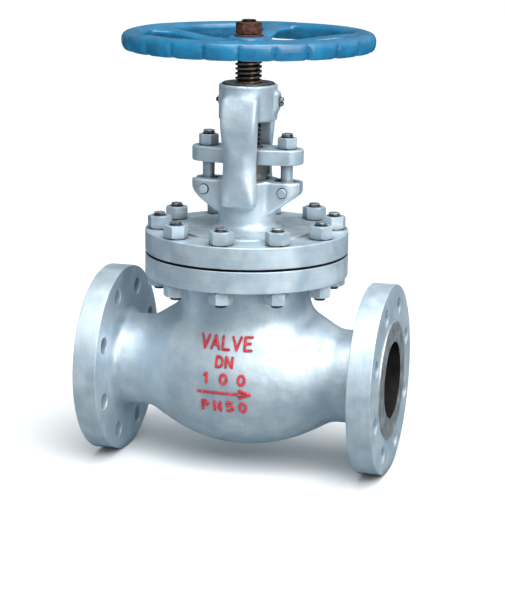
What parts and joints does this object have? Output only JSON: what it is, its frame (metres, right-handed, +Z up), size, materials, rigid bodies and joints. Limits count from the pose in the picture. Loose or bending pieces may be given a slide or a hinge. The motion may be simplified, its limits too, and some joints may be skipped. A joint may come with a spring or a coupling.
{
  "type": "globe valve",
  "caption": "Flanged cast steel globe valve with a bolted bonnet, outside screw and yoke, rising stem and spoked handwheel.",
  "frame": {"origin": "where the stem axis crosses the bore axis, in the middle of the body", "axes": "+X along the bore, downstream, towards the outlet flange; +Z up the stem to the handwheel; -Y is the side with the flow arrow"},
  "size_m": [0.406, 0.332, 0.594],
  "materials": {
    "silver_paint": "satin silver grey paint over a sand-cast or machined surface",
    "blue_paint": "glossy bright blue enamel over cast iron",
    "stem_steel": "dark oiled turned steel",
    "machined_steel": "turned bare steel",
    "bolt_steel": "dull zinc grey",
    "bronze": "dark oiled bronze",
    "brown_oxide_steel": "brown primed or rusted steel",
    "graphite": "matt pressed graphite"
  },
  "bodies": {
    "root": {"body_casting": "silver_paint", "seat_ring": "machined_steel", "bonnet": "silver_paint", "bonnet_gasket": "graphite", "backseat_bushing": "machined_steel", "bonnet_stud_1": "silver_paint", "bonnet_stud_2": "silver_paint", "bonnet_stud_3": "silver_paint", "bonnet_stud_4": "silver_paint", "bonnet_stud_5": "silver_paint", "bonnet_stud_6": "silver_paint", "bonnet_stud_7": "silver_paint", "bonnet_stud_8": "silver_paint", "bonnet_stud_9": "silver_paint", "bonnet_stud_10": "silver_paint", "upper_nut_1": "silver_paint", "upper_nut_2": "silver_paint", "upper_nut_3": "silver_paint", "upper_nut_4": "silver_paint", "upper_nut_5": "silver_paint", "upper_nut_6": "silver_paint", "upper_nut_7": "silver_paint", "upper_nut_8": "silver_paint", "upper_nut_9": "silver_paint", "upper_nut_10": "silver_paint", "lower_nut_1": "silver_paint", "lower_nut_2": "silver_paint", "lower_nut_3": "silver_paint", "lower_nut_4": "silver_paint", "lower_nut_5": "silver_paint", "lower_nut_6": "silver_paint", "lower_nut_7": "silver_paint", "lower_nut_8": "silver_paint", "lower_nut_9": "silver_paint", "lower_nut_10": "silver_paint", "packing_ring_1": "graphite", "packing_ring_2": "graphite", "packing_ring_3": "graphite", "packing_ring_4": "graphite", "gland_follower": "machined_steel", "gland_flange": "silver_paint", "gland_eyebolt_left": "bolt_steel", "gland_eyebolt_right": "bolt_steel", "gland_pin_left": "bolt_steel", "gland_pin_right": "bolt_steel", "gland_nut_left": "silver_paint", "gland_nut_right": "silver_paint", "yoke_nut": "bronze", "yoke_lock_screw": "bolt_steel", "grease_nipple": "bronze"},
    "disc": {"disc": "machined_steel", "disc_nut": "machined_steel"},
    "stem": {"stem": "stem_steel", "handwheel": "blue_paint", "wheel_key": "stem_steel", "wheel_washer": "brown_oxide_steel", "wheel_nut": "brown_oxide_steel"}
  },
  "joints": [
    {"name": "stem_lift", "type": "slide", "parent": "root", "child": "disc", "axis": [0, 0, 1], "range_m": [-0.028, 0]},
    {"name": "wheel_turn", "type": "hinge", "parent": "disc", "child": "stem", "pos_m": [0, 0, 0.445], "axis": [0, 0, 1], "range_deg": [-1674, 0]}
  ],
  "couplings": [
    {"joint": "stem_lift", "follows": "wheel_turn", "m_per_rad": 0.00095493}
  ]
}
